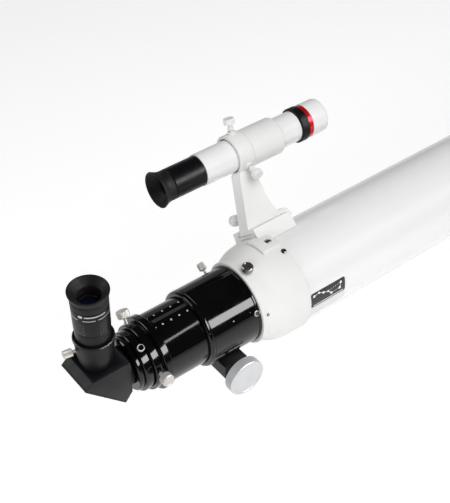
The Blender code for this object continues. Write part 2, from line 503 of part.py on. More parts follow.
for tag, station in zip(("rear", "front"), RING_AT):
    lower = half_ring("ring_lower_" + tag, station, False)
    foot = [(-19, 15.3 - AXIS_H), (19, 15.3 - AXIS_H), (23, -57), (-23, -57)]
    foot_block = prism("foot_" + tag, foot, RING_W / 2, at=(station, 0, 0), plane="YZ", cutter=True)
    boolean(foot_block, rod("foot_bed_" + tag, RING_IN + 2, -20, 20, (station, 0, 0), n=N_BIG))
    boolean(lower, foot_block, "UNION")
    upper = half_ring("ring_upper_" + tag, station, True)
    upper.parent = empty("ring_hinge_" + tag, (station - MID, PIN_Y, AXIS_H))
    upper.location = (0, -PIN_Y / 1000, 0)
    boolean(lower, rod("trunnion_bore_" + tag, 2.8, -12, 12, (station, BOLT_Y, BOLT_Z), n=N_SCREW))
    screw_at = (station, 0, -AXIS_H)
    boolean(lower, rod("bore_foot_" + tag, 3.3, 10, 27, screw_at, facing((0, 0, 1)), n=N_SCREW))
    boolean(dovetail, turned("bar_bore_" + tag, [(-1, 0), (-1, 5.6), (9, 5.6), (9, 3.3), (17, 3.3),
                                                 (17, 0)], at=(station - MID, 0, 0),
                             matrix=facing((0, 0, 1)), parent=None, n=16, cutter=True))
    turned("bar_screw_" + tag, [(2.7, 0), (2.7, 4.8), (3.1, 5.2), (8.7, 5.2), (8.7, 3.0),
                                (24.0, 3.0), (25.0, 2.2), (25.0, 0)], "steel", screw_at,
           facing((0, 0, 1)), n=N_SCREW)
    turned("ring_pin_" + tag, [(-13.5, 0), (-13.5, 1.7), (-13.2, 2.0), (13.3, 2.0), (13.3, 3.4),
                               (14.6, 3.0), (15.2, 1.6), (15.3, 0)], "steel",
           (station, PIN_Y, 0), n=N_SCREW)
    bolt = turned("ring_bolt_" + tag, [(0, 0), (0, 2.5), (2.0, 3.1), (17.8, 3.1), (17.8, 7.6),
                                       (18.8, 9.0), (31.0, 9.0), (32.0, 8.0), (32.0, 0)],
                  "nickel", (station, BOLT_Y, BOLT_Z), facing((0, 0, 1)), n=16)
    boolean(bolt, rod("trunnion_" + tag, 2.5, -8.7, 8.7, (station, BOLT_Y, BOLT_Z), n=N_SCREW), "UNION")
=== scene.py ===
"""Refractor telescope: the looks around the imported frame. Lengths in profiles are millimetres."""
import json
import math

import bmesh
import bpy
from mathutils import Matrix, Vector


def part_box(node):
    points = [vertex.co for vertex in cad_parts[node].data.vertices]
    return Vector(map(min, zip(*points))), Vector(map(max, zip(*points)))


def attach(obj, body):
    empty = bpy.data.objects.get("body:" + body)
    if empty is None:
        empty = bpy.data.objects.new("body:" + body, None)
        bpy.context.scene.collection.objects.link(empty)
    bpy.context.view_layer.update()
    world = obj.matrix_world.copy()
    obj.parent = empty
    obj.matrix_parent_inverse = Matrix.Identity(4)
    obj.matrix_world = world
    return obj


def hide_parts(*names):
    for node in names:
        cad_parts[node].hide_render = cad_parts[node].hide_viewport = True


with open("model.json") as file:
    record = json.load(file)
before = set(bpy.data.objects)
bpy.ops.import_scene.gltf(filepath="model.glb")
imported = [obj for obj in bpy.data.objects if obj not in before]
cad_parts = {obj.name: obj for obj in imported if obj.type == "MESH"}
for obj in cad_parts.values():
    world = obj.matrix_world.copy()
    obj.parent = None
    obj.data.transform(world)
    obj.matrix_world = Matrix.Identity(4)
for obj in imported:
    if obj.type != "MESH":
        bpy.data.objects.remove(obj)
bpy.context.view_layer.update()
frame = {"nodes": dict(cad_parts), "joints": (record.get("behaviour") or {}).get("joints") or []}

MM = 0.001
BARREL_R = 15.875
JOINTS = {j["name"]: j for j in frame["joints"]}


def centre(node):
    low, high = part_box(node)
    return (low + high) / 2


AXIS = centre("main_tube")
ZERO_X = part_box("main_tube")[0].x - 26 * MM      # station 0: the focuser's front flange
FINDER = centre("finder_tube")
ROLL = math.atan2(FINDER.y - AXIS.y, FINDER.z - AXIS.z)
PINION = centre("pinion_shaft")
DIAG_X = centre("eyepiece_barrel").x


# ---- places: each has local X along a piece's own axis ------------------------------------------
def place(point, direction=(1, 0, 0)):
    turn = Vector((1, 0, 0)).rotation_difference(Vector(direction)).to_matrix()
    return Matrix.Translation(Vector(point)) @ turn.to_4x4()


def station(s, y=0.0, z=0.0):
    return Vector((ZERO_X + s * MM, AXIS.y + y * MM, AXIS.z + z * MM))


def radial(theta):
    t = math.radians(theta)
    return Vector((0.0, -math.sin(t), math.cos(t)))


TUBE_AT = place(station(0))
FIN_AT = place((ZERO_X, FINDER.y, FINDER.z))
ROLL_AT = Matrix.Translation(station(0)) @ Matrix.Rotation(-ROLL, 4, "X")
UP_AT = place((DIAG_X, AXIS.y, AXIS.z), (0, 0, 1))


def screw_at(joint, line=AXIS):
    """On the line (along X through `line`) that a radial screw points away from."""
    j = JOINTS[joint]
    return place((j["pos_m"][0], line.y, line.z), j["axis"])


# ---- materials ----------------------------------------------------------------------------------
MATS = {}
DUST = (0.75, 0.75, 0.73)


def shade(name, colour, rough, metal=0.0, vary=0.05, scale=14.0, rough_vary=0.04, grain=(),
          rings=None, edge_highlight=None, specks=None, **constant):
    """Principled material with colour and roughness drift. Lengths of bumps in millimetres.

    grain: (scale, strength, depth) of each bump; rings: the same for fine turning marks
    edge_highlight: (colour, start, full, amount), a painted highlight at sharp edges; specks:
    (scale, start, amount) of dust
    """
    m = bpy.data.materials.new(name)
    m.use_nodes = True
    nt = m.node_tree
    new, link = nt.nodes.new, nt.links.new
    bsdf = nt.nodes["Principled BSDF"]
    where = new("ShaderNodeTexCoord").outputs["Object"]

    def noise(size, detail=4.0):
        n = new("ShaderNodeTexNoise")
        n.inputs["Scale"].default_value = size
        n.inputs["Detail"].default_value = detail
        link(where, n.inputs["Vector"])
        return n.outputs["Fac"]

    def remap(value, a, b, c, d):
        n = new("ShaderNodeMapRange")
        for key, v in zip(("From Min", "From Max", "To Min", "To Max"), (a, b, c, d)):
            n.inputs[key].default_value = v
        link(value, n.inputs["Value"])
        return n.outputs["Result"]

    def mix(fac, a, b):
        n = new("ShaderNodeMix")
        n.data_type = "RGBA"
        link(fac, n.inputs["Factor"])
        for key, v in ((6, a), (7, b)):
            if isinstance(v, (tuple, list)):
                n.inputs[key].default_value = (*v, 1.0)
            else:
                link(v, n.inputs[key])
        return n.outputs[2]

    def bump(height, strength, depth, below):
        n = new("ShaderNodeBump")
        n.inputs["Strength"].default_value = strength
        n.inputs["Distance"].default_value = depth * MM
        link(height, n.inputs["Height"])
        if below:
            link(below, n.inputs["Normal"])
        return n.outputs["Normal"]

    low = tuple(c * (1 - vary) for c in colour)
    high = tuple(min(1.0, c * (1 + vary)) for c in colour)
    tone = mix(remap(noise(scale), 0.35, 0.65, 0, 1), low, high)
    # painted highlight: sharp convex edges (high pointiness) are mixed towards a lighter colour
    if edge_highlight:
        highlight_colour, start, full, amount = edge_highlight
        edge = new("ShaderNodeNewGeometry").outputs["Pointiness"]
        tone = mix(remap(edge, start, full, 0, amount), tone, highlight_colour)
    if specks:
        size, start, amount = specks
        tone = mix(remap(noise(size, 2.0), start, start + 0.06, 0, amount), tone, DUST)
    link(tone, bsdf.inputs["Base Color"])
    link(remap(noise(scale * 2.3), 0.3, 0.7, rough - rough_vary, rough + rough_vary),
         bsdf.inputs["Roughness"])
    bsdf.inputs["Metallic"].default_value = metal
    normal = None
    for size, strength, depth in grain:
        normal = bump(noise(size, 3.0), strength, depth, normal)
    if rings:
        size, strength, depth = rings
        wave = new("ShaderNodeTexWave")
        wave.bands_direction = "X"
        wave.inputs["Scale"].default_value = size
        wave.inputs["Distortion"].default_value = 0.6
        wave.inputs["Detail Scale"].default_value = 2.0
        link(where, wave.inputs["Vector"])
        normal = bump(wave.outputs["Fac"], strength, depth, normal)
    if normal:
        link(normal, bsdf.inputs["Normal"])
    for key, value in constant.items():
        bsdf.inputs[key.replace("_", " ").title().replace("Ior", "IOR")].default_value = value
    MATS[name] = m
    return m


shade("white_gloss", (0.80, 0.80, 0.80), 0.20, vary=0.012, scale=9, rough_vary=0.05,
      grain=((420, 0.10, 0.05), (60, 0.06, 0.12)), coat_weight=0.35, coat_roughness=0.10)
# white_satin: its sharp edges are made lighter, a painted highlight
shade("white_satin", (0.765, 0.762, 0.75), 0.42, vary=0.018, scale=22,
      grain=((1500, 0.22, 0.05), (160, 0.10, 0.10)), edge_highlight=((0.88, 0.875, 0.86), 0.52, 0.62, 0.5))
shade("black_gloss", (0.0022, 0.0022, 0.0024), 0.085, vary=0.25, scale=30, rough_vary=0.03,
      grain=((140, 0.05, 0.05),), rings=(900, 0.05, 0.01), specks=(1400, 0.765, 0.10),
      ior=1.42)
# black_satin: its sharp edges are made lighter, a painted highlight
shade("black_satin", (0.0042, 0.0042, 0.0052), 0.34, vary=0.2, scale=40, rough_vary=0.05,
      grain=((1800, 0.16, 0.03),), rings=(700, 0.08, 0.01),
      edge_highlight=((0.05, 0.05, 0.053), 0.53, 0.62, 0.6), specular_ior_level=0.16)
# anthracite: its sharp edges are made lighter, a painted highlight along the diagonal's rims
shade("anthracite", (0.0050, 0.0050, 0.0062), 0.42, vary=0.22, scale=34, rough_vary=0.07,
      grain=((2200, 0.30, 0.03), (300, 0.08, 0.05)), edge_highlight=((0.09, 0.09, 0.095), 0.53, 0.63, 0.8),
      specks=(2600, 0.74, 0.03), specular_ior_level=0.16)
# a lighter metal for the diagonal's top rim chamfer: a painted highlight line
shade("rim_highlight", (0.12, 0.12, 0.125), 0.34, metal=0.9, vary=0.2, scale=200, rough_vary=0.08)
shade("grip_grey", (0.13, 0.13, 0.135), 0.5, vary=0.15, scale=300)
shade("rubber", (0.0040, 0.0040, 0.0050), 0.60, vary=0.25, scale=60, rough_vary=0.10,
      grain=((2600, 0.40, 0.03), (420, 0.12, 0.05)), specks=(900, 0.74, 0.05),
      sheen_weight=0.02, specular_ior_level=0.25)
shade("nickel", (0.58, 0.56, 0.53), 0.46, metal=0.5, vary=0.05, scale=90, rough_vary=0.06,
      grain=((1600, 0.12, 0.02),))
# polished nickel; its darker, browner base colour is a painted dark reflection
shade("nickel_polished", (0.36, 0.34, 0.315), 0.27, metal=0.95, vary=0.06, scale=90,
      rough_vary=0.05, rings=(1300, 0.08, 0.01))
shade("steel", (0.50, 0.50, 0.51), 0.28, metal=1.0, vary=0.10, scale=140, rough_vary=0.08,
      grain=((1200, 0.12, 0.02),))
shade("dark_steel", (0.14, 0.135, 0.13), 0.35, metal=1.0, vary=0.2, scale=160, rough_vary=0.08,
      grain=((1200, 0.12, 0.02),))
shade("aluminium", (0.60, 0.605, 0.62), 0.44, metal=0.45, vary=0.03, scale=55, rough_vary=0.05,
      grain=((2400, 0.18, 0.02),), rings=(1500, 0.10, 0.008))
shade("red_anodised", (0.62, 0.006, 0.012), 0.24, metal=0.45, vary=0.12, scale=60,
      rings=(1200, 0.08, 0.01))
shade("matt_black", (0.010, 0.010, 0.010), 0.85, vary=0.25, scale=50,
      grain=((1400, 0.35, 0.05),))
shade("mirror", (0.92, 0.92, 0.93), 0.03, metal=1.0, vary=0.01, rough_vary=0.01)
shade("print_white", (0.80, 0.80, 0.80), 0.45, vary=0.08, scale=500)
shade("print_dull", (0.42, 0.42, 0.43), 0.5, vary=0.12, scale=500)
shade("print_grey", (0.028, 0.028, 0.029), 0.45, vary=0.12, scale=500)
shade("label_black", (0.009, 0.009, 0.010), 0.36, vary=0.2, scale=120, grain=((800, 0.1, 0.02),))
shade("label_pale", (0.70, 0.705, 0.71), 0.35, vary=0.03, scale=120, grain=((800, 0.1, 0.02),))
shade("lens", (0.50, 0.66, 0.80), 0.03, vary=0.05, rough_vary=0.01, transmission_weight=0.95,
      specular_tint=(0.35, 0.75, 0.65, 1.0), ior=1.62)
shade("eye_lens", (0.003, 0.004, 0.012), 0.035, vary=0.3, scale=60, rough_vary=0.01,
      specular_tint=(0.28, 0.32, 1.0, 1.0), ior=1.75)


# ---- making meshes ------------------------------------------------------------------------------
def made(name, bm, where, mats, body, nodes=(), sharp=32.0):
    """A finished piece from a bmesh in millimetres: placed, smoothed, riding on its body."""
    bmesh.ops.remove_doubles(bm, verts=bm.verts, dist=5e-4)
    bmesh.ops.recalc_face_normals(bm, faces=bm.faces)
    bmesh.ops.scale(bm, vec=(MM, MM, MM), verts=bm.verts)
    mesh = bpy.data.meshes.new(name)
    bm.to_mesh(mesh)
    bm.free()
    o = bpy.data.objects.new(name, mesh)
    bpy.context.scene.collection.objects.link(o)
    o.matrix_world = where
    for m in ([mats] if isinstance(mats, str) else mats):
        mesh.materials.append(MATS[m])
    mesh.shade_smooth()
    mesh.set_sharp_from_angle(angle=math.radians(sharp))
    if body:
        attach(o, body)
    if nodes:
        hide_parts(*([nodes] if isinstance(nodes, str) else nodes))
    return o


def rounded(points, radius, steps=4):
    """Profile with its corners rounded; points on the axis keep their corner."""
    closed = min(r for _, r in points) > 0
    out = []
    n = len(points)
    for i, p in enumerate(points):
        p = Vector(p)
        if not closed and i in (0, n - 1):
            out.append(tuple(p))
            continue
        a, b = Vector(points[i - 1]) - p, Vector(points[(i + 1) % n]) - p
        cut = min(radius, 0.42 * a.length, 0.42 * b.length)
        if p.y <= 0 or cut < 0.02 or a.normalized().dot(b.normalized()) < -0.985:
            out.append(tuple(p))
            continue
        s, e = p + a.normalized() * cut, p + b.normalized() * cut
        for k in range(steps + 1):
            t = k / steps
            q = s * (1 - t) ** 2 + p * 2 * t * (1 - t) + e * t * t
            out.append((q.x, q.y))
    return out, closed


def spun(points, n, soft=0.35, teeth=0, depth=0.0, band=None, split=None):
    """bmesh of a profile turned about local X. A band (from, to, least radius) may be knurled."""
    pts, closed = rounded(points, soft)
    if band and teeth:                       # extra rows, so the knurl starts and ends cleanly
        fine = []
        for (a, r), (b, q) in zip(pts, pts[1:] + pts[:1]):
            fine.append((a, r))
            if r > band[2] and q > band[2] and abs(b - a) > 1.2:
                fine += [(a + (b - a) * t, r + (q - r) * t) for t in (0.08, 0.5, 0.92)]
        pts = fine
    bm = bmesh.new()
    rows = []
    for a, r in pts:
        if r <= 1e-6:
            rows.append([bm.verts.new((a, 0, 0))])
            continue
        row = []
        for i in range(n):
            t = math.tau * i / n
            rr = r
            if band and band[0] <= a <= band[1] and r >= band[2]:
                rr -= depth * (0.5 - 0.5 * math.cos(teeth * t))
            row.append(bm.verts.new((a, -rr * math.sin(t), rr * math.cos(t))))
        rows.append(row)
    spans = list(zip(range(len(rows)), range(1, len(rows))))
    if closed:
        spans.append((len(rows) - 1, 0))
    for i, j in spans:
        p, q = rows[i], rows[j]
        index = split((pts[i][0] + pts[j][0]) / 2, (pts[i][1] + pts[j][1]) / 2) if split else 0
        for k in range(n):
            m = (k + 1) % n
            ring = ([p[0], q[k], q[m]] if len(p) == 1 else
                    [p[k], q[0], p[m]] if len(q) == 1 else [p[k], q[k], q[m], p[m]])
            f = bm.faces.new(ring)
            f.material_index = index
    return bm


def lathe(name, points, where, mats, body, nodes=(), slot=None, n=128, **kw):
    return made(name, spun(points, n, **kw), where, mats, body, nodes)


def solid(outline, half, plane="XZ", middle=0.0):
    """Outline in XZ or YZ, pushed out to +-half along the third axis about `middle`."""
    bm = bmesh.new()
    if plane == "XZ":
        pair = [[bm.verts.new((a, middle + s * half, b)) for a, b in outline] for s in (-1, 1)]
    else:
        pair = [[bm.verts.new((middle + s * half, a, b)) for a, b in outline] for s in (-1, 1)]
    n = len(outline)
    for k in range(n):
        m = (k + 1) % n
        bm.faces.new([pair[0][k], pair[0][m], pair[1][m], pair[1][k]])
    bm.faces.new(pair[0])
    bm.faces.new(pair[1])
    return bm


def moved(bm, matrix):
    bmesh.ops.transform(bm, matrix=matrix, verts=bm.verts)
    return bm


def tool(bm):
    """A helper object for a boolean, removed after use."""
    bmesh.ops.recalc_face_normals(bm, faces=bm.faces)
    mesh = bpy.data.meshes.new("helper")
    bm.to_mesh(mesh)
    bm.free()
    o = bpy.data.objects.new("helper", mesh)
    bpy.context.scene.collection.objects.link(o)
    return o


def carved(bm, *steps, edge=0.5, segments=3, angle=35.0):
    """Booleans (operation, bmesh) one after another, then rounded edges; a new bmesh."""
    base = tool(bm)
    helpers = []
    for operation, other in steps:
        h = tool(other)
        helpers.append(h)
        mod = base.modifiers.new("cut", "BOOLEAN")
        mod.operation, mod.object, mod.solver = operation, h, "EXACT"
    if edge:
        mod = base.modifiers.new("edge", "BEVEL")
        mod.width, mod.segments = edge, segments
        mod.limit_method, mod.angle_limit = "ANGLE", math.radians(angle)
        mod.use_clamp_overlap = True
    bpy.context.view_layer.update()
    got = base.evaluated_get(bpy.context.evaluated_depsgraph_get())
    out = bmesh.new()
    out.from_mesh(got.to_mesh())
    got.to_mesh_clear()
    for o in (base, *helpers):
        bpy.data.objects.remove(o)
    return out


def cyl(radius, a, b, n=96, at=(0, 0, 0), direction=(1, 0, 0)):
    turn = Vector((1, 0, 0)).rotation_difference(Vector(direction)).to_matrix().to_4x4()
    bm = spun([(a, 0), (a, radius), (b, radius), (b, 0)], n, soft=0)
    return moved(bm, Matrix.Translation(Vector(at)) @ turn)


def patch(s0, s1, t0, t1, radius, thick=0.10, corner=0.0, bm=None):
    """Thin closed skin on a cylinder about local X, from station s0 to s1 and angle t0 to t1."""
    bm = bm or bmesh.new()
    tm, half_t = (t0 + t1) / 2, math.radians(t1 - t0) / 2 * radius
    sm, half_s = (s0 + s1) / 2, (s1 - s0) / 2
    c = min(corner, half_s * 0.99, half_t * 0.99)
    outline = []
    if c > 0:
        for cx, cy, a0 in ((1, 1, 0), (-1, 1, 90), (-1, -1, 180), (1, -1, 270)):
            for k in range(6):
                a = math.radians(a0 + 18 * k)
                outline.append((cx * (half_s - c) + c * math.cos(a),
                                cy * (half_t - c) + c * math.sin(a)))
    else:
        outline = [(half_s, half_t), (-half_s, half_t), (-half_s, -half_t), (half_s, -half_t)]
    steps = max(1, int((t1 - t0) / 3))
    flat = bmesh.new()
    flat.faces.new([flat.verts.new((x, y, 0)) for x, y in outline])
    for k in range(1, steps):
        y = -half_t + 2 * half_t * k / steps
        bmesh.ops.bisect_plane(flat, geom=flat.verts[:] + flat.edges[:] + flat.faces[:],
                               plane_co=(0, y, 0), plane_no=(0, 1, 0))
    index = {}
    for v in flat.verts:
        for layer, r in ((0, radius), (1, radius + thick)):
            t = math.radians(tm) + v.co.y / radius
            index[(v, layer)] = bm.verts.new((sm + v.co.x, -r * math.sin(t), r * math.cos(t)))
    for f in flat.faces:
        bm.faces.new([index[(v, 0)] for v in f.verts][::-1])
        bm.faces.new([index[(v, 1)] for v in f.verts])
    for e in flat.edges:
        if len(e.link_faces) == 1:
            a, b = e.verts
            bm.faces.new([index[(a, 0)], index[(b, 0)], index[(b, 1)], index[(a, 1)]])
    flat.free()
    return bm


# ---- optical tube -------------------------------------------------------------------------------
TUBE_R, IN = 54, 52.6                                # the tube's outer and inner radius
lathe("main_tube_skin", [(26, TUBE_R), (1085, TUBE_R), (1085, IN), (26, IN)], TUBE_AT,
      ["white_gloss", "matt_black"], "tube", "main_tube", "tube_white", n=224,
      split=lambda s, r: int(r < IN + 0.2))
lathe("rear_casting_skin", [
    (2.0, 47.1), (2.7, 47.8), (9.5, 47.8), (12.5, 49.3), (18.0, 52.5), (25.0, 54.8), (35.0, 56.2),
    (59.2, 56.2), (60.0, 55.4), (60.0, 54.2), (25.7, 54.2), (25.7, 50.5), (14.0, 44.5),
    (14.0, 41.0), (2.0, 41.0)], TUBE_AT, "white_satin", "tube", "rear_casting", "casting_white",
      n=192, soft=3.0)
for tag, s, hole in (("rear", 410, 32), ("front", 760, 42)):
    lathe("baffle_%s_skin" % tag, [(s, IN - 0.3), (s + 9, IN - 0.3), (s + 9, IN - 1.5),
                                   (s + 1.2, IN - 1.5), (s + 1.2, hole), (s, hole)],
          TUBE_AT, "matt_black", "tube", "baffle_" + tag, "matt_black", n=96)
lathe("objective_cell_skin", [
    (1066, 52.3), (1085.3, 52.3), (1085.3, 58.5), (1134, 58.5), (1135, 57.5), (1135, 52.9),
    (1108, 52.9), (1108, 50.2), (1066, 50.2)], TUBE_AT, "matt_black", "tube", "objective_cell",
      "matt_black", n=128)


LENS_R = 52.5


def lens_face(vertex, radius, edge=LENS_R, steps=10):
    """Points from the axis to the edge on a spherical face; a positive radius bulges forward."""
    side = 1 if radius > 0 else -1
    rows = [edge * i / steps for i in range(steps + 1)]
    return [(vertex - side * (abs(radius) - math.sqrt(radius ** 2 - r * r)), r) for r in rows]


lathe("crown_lens_glass", lens_face(1127.6, 830) + lens_face(1117.4, -470)[::-1],
      TUBE_AT, "lens", "tube", "crown_lens", "lens_glass", n=128, soft=0.2)
lathe("flint_lens_glass", lens_face(1116.6, -480) + lens_face(1109.2, 2000)[::-1],
      TUBE_AT, "lens", "tube", "flint_lens", "lens_glass", n=128, soft=0.2)
lathe("retaining_ring_skin", [(1128.0, 52.6), (1132.0, 52.6), (1132.0, 50.4), (1128.0, 50.9)],
      TUBE_AT, "matt_black", "tube", "lens_retaining_ring", "matt_black", n=128)
lathe("dew_shield_skin", [
    (1078, 66.0), (1249.2, 66.0), (1250, 65.2), (1250, 64.2), (1102, 64.2), (1102, 58.9),
    (1086.5, 58.9), (1086.5, 64.2), (1078, 64.2)], TUBE_AT, ["white_gloss", "matt_black"], "tube",
      "dew_shield", "gloss_white", n=224, soft=0.6, split=lambda s, r: int(r < 64.5 and s > 1086))


def screw_head(name, where, seat, radius, height, mat, body, node=None, recess="cross",
               shaft=1.5, tip=None, dome=0.55):
    """Round-headed screw with a driven recess, along local X from its seat."""
    tip = seat - 6 if tip is None else tip
    top = seat + height
    pts = [(tip, 0), (tip, shaft), (seat, shaft), (seat, radius), (seat + height * 0.35, radius),
           (top - height * 0.12, radius * dome), (top, 0)]
    head = spun(pts, 48, soft=height * 0.35)
    if recess == "cross":
        for turn in (30, 120):
            bar = solid([(top - height * 0.55, -radius * 0.62), (top + 2, -radius * 0.62),
                         (top + 2, radius * 0.62), (top - height * 0.55, radius * 0.62)],
                        radius * 0.11)
            moved(bar, Matrix.Rotation(math.radians(turn), 4, "X"))
            head = carved(head, ("DIFFERENCE", bar), edge=0)
    else:
        hexa = spun([(top - height * 0.7, 0), (top - height * 0.7, radius * 0.48),
                     (top + 3, radius * 0.48), (top + 3, 0)], 6, soft=0)
        head = carved(head, ("DIFFERENCE", hexa), edge=0)
    return made(name, head, where, mat, body, node or ())


screw_head("casting_screw_skin", place(station(55.2), radial(13.3)), 56.4,
           3.1, 1.9, "dark_steel", "tube", "casting_screw", tip=51.2)
screw_head("shoe_screw_skin", place(station(49), radial(-6.6)), 58.5, 3.5, 2.0, "steel",
           "tube", "shoe_screw", tip=51.2)
screw_head("collar_grub_screw", place(station(8.6), radial(72)), 47.2, 1.9, 1.1, "black_satin",
           "tube", recess="hex", dome=0.8)

# label: a plain plate with a pale frame and a small star pattern, and a pale strip below it
S0, S1, T0, T1 = 61.0, 110.5, 72.0, 92.6             # stations in mm, angles in degrees
FRAME_R, PLATE_R, MARK_R, BORDER = 54.02, 54.03, 54.13, 0.55
made("label_frame", patch(S0, S1, T0, T1, FRAME_R, 0.10, 2.6), TUBE_AT, "print_white", "tube")
made("label_plate", patch(S0 + BORDER, S1 - BORDER, T0 + BORDER, T1 - BORDER, PLATE_R, 0.14, 2.2),
     TUBE_AT, "label_black", "tube")
made("label_strip", patch(S0, S1, T1 + 0.5, T1 + 15.5, FRAME_R, 0.08, 1.2), TUBE_AT, "label_pale",
     "tube")
DOT, DASHES = 0.42, 14                               # between the stars
STARS = ((66, 77.0, 1.6), (73, 75.6, 1.3), (79, 78.4, 1.5), (85.5, 80.2, 1.3),
         (90, 85.0, 1.6), (102, 84.2, 1.7), (104, 77.4, 1.5))
marks = bmesh.new()
for s, t, r in STARS:
    dt = math.degrees(r / 54.2)
    patch(s - r, s + r, t - dt, t + dt, MARK_R, 0.10, r * 0.98, bm=marks)
for (s, t, _), (u, v, _) in zip(STARS, STARS[1:] + STARS[3:4]):
    for k in range(2, DASHES - 1, 2):
        f = k / DASHES
        a, b = s + (u - s) * f, t + (v - t) * f
        patch(a - DOT, a + DOT, b - DOT, b + DOT, MARK_R, 0.08, 0.3, bm=marks)
patch(S0 + 3.5, S1 - 3.5, T1 - 3.1, T1 - 2.1, MARK_R, 0.08, bm=marks)
made("label_marks", marks, TUBE_AT, "print_white", "tube")

# ---- focuser ------------------------------------------------------------------------------------
GRUB_S, GRUB_AWAY = -1.6, radial(65.2)
body = spun([
    (1.7, 44.6), (-1.0, 44.6), (-1.2, 43.5), (-57.2, 43.5), (-57.7, 42.9), (-58.3, 43.4),
    (-60.0, 43.5), (-61.7, 42.7), (-62.6, 41.3), (-62.8, 39.8), (-62.8, 38.3), (14.0, 38.3),
    (14.0, 40.6), (13.4, 39.3), (7.4, 39.3), (6.6, 40.6), (1.7, 40.6)], 192, soft=0.5)
body = carved(body, ("DIFFERENCE", cyl(3.6, 41.2, 50, 40, (GRUB_S, 0, 0), GRUB_AWAY)), edge=0)
made("focuser_body_skin", body, TUBE_AT, "black_gloss", "focuser", "focuser_body")
lathe("focuser_grub_screw", [
    (36.0, 0), (36.0, 1.5), (41.9, 1.5), (41.9, 3.3), (43.4, 3.3), (43.9, 2.9), (43.9, 2.3),
    (42.4, 2.0), (42.4, 0)], place(station(GRUB_S), GRUB_AWAY),
      ["nickel", "dark_steel"], "focuser", slot="nickel", n=64, soft=0.25,
      split=lambda s, r: int(s > 42.2 and r < 2.4))
dots = bmesh.new()
for s, t, r in ((-8.9, 59.0, 0.5), (-30.4, 58.4, 0.75), (-60.6, 57.5, 0.5)):
    skin_r = 43.5 if s > -50 else 43.3               # the rear lip is rounded
    dt = math.degrees(r / skin_r)
    patch(s - r, s + r, t - dt, t + dt, skin_r, 0.08, r * 0.98, bm=dots)
made("focuser_pin_ends", dots, TUBE_AT, "steel", "focuser")

px = PINION.x / MM - ZERO_X / MM
pz = (PINION.z - AXIS.z) / MM
hx0, hx1 = px - 16.2, px + 12.8
housing = solid([(hx0, -34), (hx1, -34), (hx1, -51), (hx1 - 7, -58.5), (hx0 + 7, -58.5),
                 (hx0, -51)], 42.0)
housing = carved(housing, ("DIFFERENCE", cyl(43.62, -90, 20, 160)),
                 ("DIFFERENCE", cyl(3.5, -52, 52, 48, (px, 0, pz), (0, 1, 0))), edge=1.1)
made("pinion_housing_skin", housing, TUBE_AT, "black_satin", "focuser", "pinion_housing")
for side in (-1, 1):
    for k, dx in enumerate((-11.5, 8.0)):
        screw_head("housing_screw_%d_%d" % (side + 1, k),
                   place(station(px + dx, 0, pz), (0, side, 0)), 41.2, 2.1, 1.9, "dark_steel",
                   "focuser", recess="hex", dome=0.9)

SHAFT_AT = place(PINION, (0, 1, 0))
lathe("pinion_shaft_skin", [(-56.4, 0), (-56.4, 3.0), (56.4, 3.0), (56.4, 0)], SHAFT_AT, "steel",
      "pinion", (), "steel", n=64, soft=0.4)
for o in (frame["nodes"]["pinion_shaft"], frame["nodes"]["rack"]):
    o.data.materials.clear()
    o.data.materials.append(MATS["steel"])
for side, tag in ((-1, "near"), (1, "far")):
    lathe("focus_knob_%s_skin" % tag, [
        (56.9, 0), (56.9, 3.3), (48.3, 3.3), (48.3, 20.4), (49.0, 21.9), (58.5, 21.9), (59.4, 21.0),
        (59.4, 19.0), (58.8, 18.5), (58.8, 0)], place(PINION, (0, side, 0)), "aluminium", "pinion",
          "focus_knob_" + tag, "aluminium", n=720, soft=0.5, teeth=120, depth=0.28,
          band=(49.0, 58.3, 20.9))

# ---- draw tube and its scale --------------------------------------------------------------------
DRAW_R = 38.0
lathe("draw_tube_skin", [(-107.4, DRAW_R), (16.0, DRAW_R), (16.0, 33.6), (-107.4, 33.6)], TUBE_AT,
      ["black_gloss", "matt_black"], "draw", "draw_tube", "black_gloss", n=192, soft=0.3,
      split=lambda s, r: int(r < 34))
scale = bmesh.new()
for s, w in ((-67, 0.9), (-77.2, 0.9), (-87.4, 0.9), (-97.6, 0.9), (-105.6, 0.45)):
    for t in (-13, 11):
        dt = math.degrees(w * 1.15 / DRAW_R)
        patch(s - w, s + w, t - dt, t + dt, DRAW_R, 0.07, w * 0.6, bm=scale)
made("draw_scale_dots", scale, TUBE_AT, "print_dull", "draw")
made("draw_scale_line", patch(-105.0, -62.9, -4.2, 2.2, DRAW_R, 0.06, 0.4), TUBE_AT, "print_grey",
     "draw")
lathe("clamp_collar_skin", [
    (-107.7, 40.2), (-108.5, 41.0), (-115.4, 41.0), (-116.2, 40.2), (-116.4, 35.8), (-117.8, 35.8),
    (-118.4, 36.6), (-125.8, 36.6), (-126.6, 35.8), (-126.6, 25.8), (-96.0, 25.8), (-96.0, 33.2),
    (-107.7, 33.2)], TUBE_AT, "black_gloss", "draw", "clamp_collar", "black_gloss", n=160, soft=0.4)
lathe("eyepiece_adapter_skin", [
    (-126.9, 32.2), (-127.7, 33.0), (-135.4, 33.0), (-136.2, 32.2), (-136.6, 29.0), (-137.4, 29.8),
    (-140.4, 29.8), (-142.0, 28.2), (-142.0, BARREL_R + 0.3), (-100.0, BARREL_R + 0.3),
    (-100.0, 25.4), (-126.9, 25.4)], TUBE_AT, "black_gloss", "adapter", "eyepiece_adapter",
      "black_gloss", n=160, soft=0.4)
lathe("adapter_screw_skin", [
    (16.5, 0), (16.5, 1.5), (33.1, 1.5), (33.1, 3.6), (33.9, 4.0), (35.2, 3.9), (36.0, 3.4),
    (36.0, 2.9), (34.2, 2.7), (34.2, 0)], place(station(-130.4), radial(26.6)),
      ["nickel", "black_gloss"], "adapter", "adapter_screw", "steel", n=64, soft=0.3,
      split=lambda s, r: int(s > 34.0 and r < 2.95))


